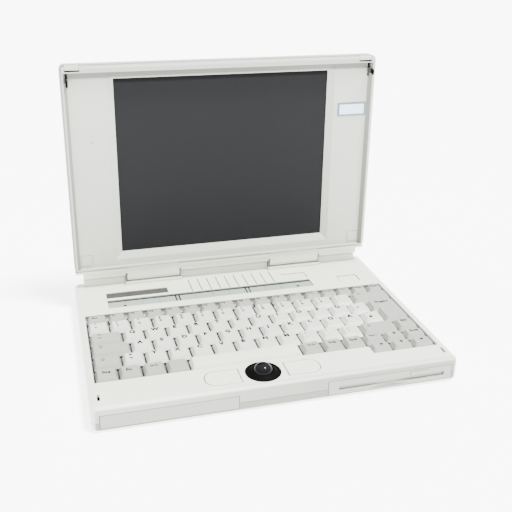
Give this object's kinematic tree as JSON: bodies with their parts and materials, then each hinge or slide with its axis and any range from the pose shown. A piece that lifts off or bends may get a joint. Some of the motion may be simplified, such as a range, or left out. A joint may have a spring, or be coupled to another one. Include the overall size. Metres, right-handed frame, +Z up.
{
  "type": "laptop computer",
  "caption": "Portable computer with a lid hinged at the rear, a full keyboard, a trackball between its click buttons, and a floppy slot and a battery bay in its front.",
  "frame": {"origin": "on the table, under the middle of the base", "axes": "+X to the right of the person who types, +Y to the back, +Z up; the lid stands open at a right angle"},
  "size_m": [0.299, 0.22, 0.2363],
  "materials": {
    "case": "fine satin grain",
    "trim": "fine satin grain",
    "white_key": "smooth satin",
    "grey_key": "smooth satin",
    "dark_plastic": "smooth",
    "ball": "polished",
    "foot_rubber": "soft",
    "steel": "plain",
    "connector": "plain, with metal shell",
    "board": "coated circuit board",
    "screen": "dark, slightly frosted",
    "display": "clear cover over a grey display",
    "label": "clear cover over a pale strip",
    "plate": "smooth"
  },
  "bodies": {
    "base": {"bottom_case": "case", "case_screws": "steel", "floppy_bezel": "trim", "floppy_drive": "steel", "hard_disk": "steel", "hinge_brackets": "steel", "hinge_pins": "steel", "keyboard_frame": "dark_plastic", "label_strip": "label", "main_board": "board", "mouse_port": "connector", "parallel_port": "connector", "power_jack": "connector", "rear_panel": "steel", "rubber_feet": "foot_rubber", "serial_port": "connector", "speaker": "dark_plastic", "status_lcd": "display", "top_case": "case", "trackball_cage": "dark_plastic", "trackball_ring": "dark_plastic", "video_port": "connector"},
    "lid": {"lid_back_cover": "case", "lid_bezel": "trim", "lcd_panel": "screen", "lamp_board": "board", "badge_plate": "plate", "lid_pads": "trim", "hinge_covers": "case"},
    "latch_left": {"latch_button_left": "trim", "latch_hook_left": "dark_plastic"},
    "latch_right": {"latch_button_right": "trim", "latch_hook_right": "dark_plastic"},
    "number_keys_body": {"number_keys": "white_key"},
    "upper_letter_keys_body": {"upper_letter_keys": "white_key"},
    "home_letter_keys_body": {"home_letter_keys": "white_key"},
    "lower_letter_keys_body": {"lower_letter_keys": "white_key"},
    "space_bar_body": {"space_bar": "white_key"},
    "function_keys_body": {"function_keys": "grey_key"},
    "control_keys_body": {"control_keys": "grey_key"},
    "editing_keys_body": {"editing_keys": "grey_key"},
    "backspace_key_body": {"backspace_key": "grey_key"},
    "tab_key_body": {"tab_key": "grey_key"},
    "caps_lock_key_body": {"caps_lock_key": "grey_key"},
    "left_shift_key_body": {"left_shift_key": "grey_key"},
    "right_shift_key_body": {"right_shift_key": "grey_key"},
    "enter_key_body": {"enter_key": "grey_key"},
    "arrow_up_key_body": {"arrow_up_key": "grey_key"},
    "arrow_left_key_body": {"arrow_left_key": "grey_key"},
    "arrow_down_key_body": {"arrow_down_key": "grey_key"},
    "arrow_right_key_body": {"arrow_right_key": "grey_key"},
    "trackball_body": {"trackball": "ball"},
    "ball_roller_body": {"ball_roller": "steel"},
    "click_button_left_body": {"click_button_left": "case"},
    "click_button_right_body": {"click_button_right": "case"},
    "power_button_body": {"power_button": "case"},
    "floppy_flap_body": {"floppy_flap": "trim"},
    "eject_button_body": {"eject_button": "trim"},
    "battery_pack_body": {"battery_pack": "trim"},
    "battery_latch_body": {"battery_latch": "trim"}
  },
  "joints": [
    {"name": "lid_hinge", "type": "hinge", "parent": "base", "child": "lid", "pos_m": [0, 0.0997, 0.0288], "axis": [-1, 0, 0], "range_deg": [-90, 35]},
    {"name": "latch_left_slide", "type": "slide", "parent": "lid", "child": "latch_left", "axis": [0, 0, -1], "range_m": [0, 0.0012], "stiffness_N_per_m": 300, "springref_m": -0.004},
    {"name": "latch_right_slide", "type": "slide", "parent": "lid", "child": "latch_right", "axis": [0, 0, -1], "range_m": [0, 0.0012], "stiffness_N_per_m": 300, "springref_m": -0.004},
    {"name": "number_keys_travel", "type": "slide", "parent": "base", "child": "number_keys_body", "axis": [0, 0, -1], "range_m": [0, 0.0025], "stiffness_N_per_m": 600, "springref_m": -0.004},
    {"name": "upper_letter_keys_travel", "type": "slide", "parent": "base", "child": "upper_letter_keys_body", "axis": [0, 0, -1], "range_m": [0, 0.0025], "stiffness_N_per_m": 600, "springref_m": -0.004},
    {"name": "home_letter_keys_travel", "type": "slide", "parent": "base", "child": "home_letter_keys_body", "axis": [0, 0, -1], "range_m": [0, 0.0025], "stiffness_N_per_m": 600, "springref_m": -0.004},
    {"name": "lower_letter_keys_travel", "type": "slide", "parent": "base", "child": "lower_letter_keys_body", "axis": [0, 0, -1], "range_m": [0, 0.0025], "stiffness_N_per_m": 600, "springref_m": -0.004},
    {"name": "space_bar_travel", "type": "slide", "parent": "base", "child": "space_bar_body", "axis": [0, 0, -1], "range_m": [0, 0.0025], "stiffness_N_per_m": 200, "springref_m": -0.004},
    {"name": "function_keys_travel", "type": "slide", "parent": "base", "child": "function_keys_body", "axis": [0, 0, -1], "range_m": [0, 0.0025], "stiffness_N_per_m": 600, "springref_m": -0.004},
    {"name": "control_keys_travel", "type": "slide", "parent": "base", "child": "control_keys_body", "axis": [0, 0, -1], "range_m": [0, 0.0025], "stiffness_N_per_m": 600, "springref_m": -0.004},
    {"name": "editing_keys_travel", "type": "slide", "parent": "base", "child": "editing_keys_body", "axis": [0, 0, -1], "range_m": [0, 0.0025], "stiffness_N_per_m": 600, "springref_m": -0.004},
    {"name": "backspace_key_travel", "type": "slide", "parent": "base", "child": "backspace_key_body", "axis": [0, 0, -1], "range_m": [0, 0.0025], "stiffness_N_per_m": 200, "springref_m": -0.004},
    {"name": "tab_key_travel", "type": "slide", "parent": "base", "child": "tab_key_body", "axis": [0, 0, -1], "range_m": [0, 0.0025], "stiffness_N_per_m": 200, "springref_m": -0.004},
    {"name": "caps_lock_key_travel", "type": "slide", "parent": "base", "child": "caps_lock_key_body", "axis": [0, 0, -1], "range_m": [0, 0.0025], "stiffness_N_per_m": 200, "springref_m": -0.004},
    {"name": "left_shift_key_travel", "type": "slide", "parent": "base", "child": "left_shift_key_body", "axis": [0, 0, -1], "range_m": [0, 0.0025], "stiffness_N_per_m": 200, "springref_m": -0.004},
    {"name": "right_shift_key_travel", "type": "slide", "parent": "base", "child": "right_shift_key_body", "axis": [0, 0, -1], "range_m": [0, 0.0025], "stiffness_N_per_m": 200, "springref_m": -0.004},
    {"name": "enter_key_travel", "type": "slide", "parent": "base", "child": "enter_key_body", "axis": [0, 0, -1], "range_m": [0, 0.0025], "stiffness_N_per_m": 200, "springref_m": -0.004},
    {"name": "arrow_up_key_travel", "type": "slide", "parent": "base", "child": "arrow_up_key_body", "axis": [0, 0, -1], "range_m": [0, 0.0025], "stiffness_N_per_m": 200, "springref_m": -0.004},
    {"name": "arrow_left_key_travel", "type": "slide", "parent": "base", "child": "arrow_left_key_body", "axis": [0, 0, -1], "range_m": [0, 0.0025], "stiffness_N_per_m": 200, "springref_m": -0.004},
    {"name": "arrow_down_key_travel", "type": "slide", "parent": "base", "child": "arrow_down_key_body", "axis": [0, 0, -1], "range_m": [0, 0.0025], "stiffness_N_per_m": 200, "springref_m": -0.004},
    {"name": "arrow_right_key_travel", "type": "slide", "parent": "base", "child": "arrow_right_key_body", "axis": [0, 0, -1], "range_m": [0, 0.0025], "stiffness_N_per_m": 200, "springref_m": -0.004},
    {"name": "trackball_roll", "type": "hinge", "parent": "base", "child": "trackball_body", "pos_m": [-0.013, -0.0889, 0.0214], "axis": [1, 0, 0], "continuous": true},
    {"name": "roller_spin", "type": "hinge", "parent": "base", "child": "ball_roller_body", "pos_m": [-0.013, -0.08095, 0.01584], "axis": [1, 0, 0], "continuous": true},
    {"name": "click_left_travel", "type": "slide", "parent": "base", "child": "click_button_left_body", "axis": [0, 0, -1], "range_m": [0, 0.0009], "stiffness_N_per_m": 400, "springref_m": -0.003},
    {"name": "click_right_travel", "type": "slide", "parent": "base", "child": "click_button_right_body", "axis": [0, 0, -1], "range_m": [0, 0.0009], "stiffness_N_per_m": 400, "springref_m": -0.003},
    {"name": "power_travel", "type": "slide", "parent": "base", "child": "power_button_body", "axis": [0, 0, -1], "range_m": [0, 0.0012], "stiffness_N_per_m": 400, "springref_m": -0.003},
    {"name": "flap_swing", "type": "hinge", "parent": "base", "child": "floppy_flap_body", "pos_m": [0.0905, -0.1066, 0.0107], "axis": [1, 0, 0], "range_deg": [0, 80], "stiffness_Nm_per_rad": 0.0005, "springref_deg": -28.65},
    {"name": "eject_travel", "type": "slide", "parent": "base", "child": "eject_button_body", "axis": [0, 1, 0], "range_m": [0, 0.003], "stiffness_N_per_m": 400, "springref_m": -0.004},
    {"name": "battery_slide", "type": "slide", "parent": "base", "child": "battery_pack_body", "axis": [0, -1, 0], "range_m": [0, 0.088]},
    {"name": "battery_latch_slide", "type": "slide", "parent": "base", "child": "battery_latch_body", "axis": [1, 0, 0], "range_m": [0, 0.005]}
  ],
  "couplings": [
    {"joint": "roller_spin", "follows": "trackball_roll", "ratio": -5.3333}
  ]
}
